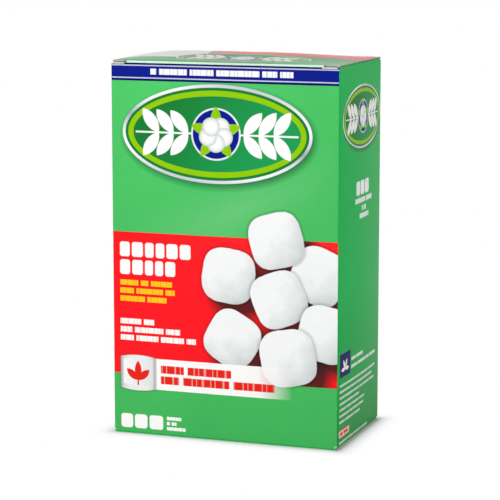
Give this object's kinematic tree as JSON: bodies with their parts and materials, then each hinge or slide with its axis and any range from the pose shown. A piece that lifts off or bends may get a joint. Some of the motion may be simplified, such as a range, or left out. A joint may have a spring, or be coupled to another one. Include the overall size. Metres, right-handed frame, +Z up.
{
  "type": "cotton ball carton",
  "caption": "Upright folding carton of paperboard with a tuck lid at each end, glued up one corner and filled with loose cotton balls.",
  "frame": {"origin": "centre of the base", "axes": "+Z up along the carton's height, -Y out of the front panel, +X to the right seen from the front"},
  "size_m": [0.1146, 0.069, 0.182],
  "materials": {
    "printed_board": "satin",
    "cotton": "matte"
  },
  "bodies": {
    "carton": {"carton": "printed_board", "cotton_ball_01": "cotton", "cotton_ball_02": "cotton", "cotton_ball_03": "cotton", "cotton_ball_04": "cotton", "cotton_ball_05": "cotton", "cotton_ball_06": "cotton", "cotton_ball_07": "cotton", "cotton_ball_08": "cotton", "cotton_ball_09": "cotton", "cotton_ball_10": "cotton", "cotton_ball_11": "cotton", "cotton_ball_12": "cotton", "cotton_ball_13": "cotton", "cotton_ball_14": "cotton", "cotton_ball_15": "cotton", "cotton_ball_16": "cotton", "cotton_ball_17": "cotton", "cotton_ball_18": "cotton", "cotton_ball_19": "cotton", "cotton_ball_20": "cotton", "cotton_ball_21": "cotton", "cotton_ball_22": "cotton", "cotton_ball_23": "cotton", "cotton_ball_24": "cotton", "cotton_ball_25": "cotton", "cotton_ball_26": "cotton", "cotton_ball_27": "cotton", "cotton_ball_28": "cotton", "cotton_ball_29": "cotton", "cotton_ball_30": "cotton", "cotton_ball_31": "cotton", "cotton_ball_32": "cotton", "cotton_ball_33": "cotton", "cotton_ball_34": "cotton", "cotton_ball_35": "cotton", "cotton_ball_36": "cotton", "cotton_ball_37": "cotton", "cotton_ball_38": "cotton", "cotton_ball_39": "cotton", "cotton_ball_40": "cotton", "cotton_ball_41": "cotton", "cotton_ball_42": "cotton", "cotton_ball_43": "cotton", "cotton_ball_44": "cotton", "cotton_ball_45": "cotton", "cotton_ball_46": "cotton", "cotton_ball_47": "cotton", "cotton_ball_48": "cotton", "cotton_ball_49": "cotton", "cotton_ball_50": "cotton", "cotton_ball_51": "cotton", "cotton_ball_52": "cotton", "cotton_ball_53": "cotton", "cotton_ball_54": "cotton", "cotton_ball_55": "cotton", "lower_cotton_balls": "cotton"},
    "top_lid": {"top_lid": "printed_board"},
    "bottom_lid": {"bottom_lid": "printed_board"}
  },
  "joints": [
    {"name": "top_lid_hinge", "type": "hinge", "parent": "carton", "child": "top_lid", "pos_m": [0, 0.0345, 0.182], "axis": [-1, 0, 0], "range_deg": [0, 170]},
    {"name": "bottom_lid_hinge", "type": "hinge", "parent": "carton", "child": "bottom_lid", "pos_m": [0, -0.0345, 0], "axis": [-1, 0, 0], "range_deg": [0, 170]}
  ]
}
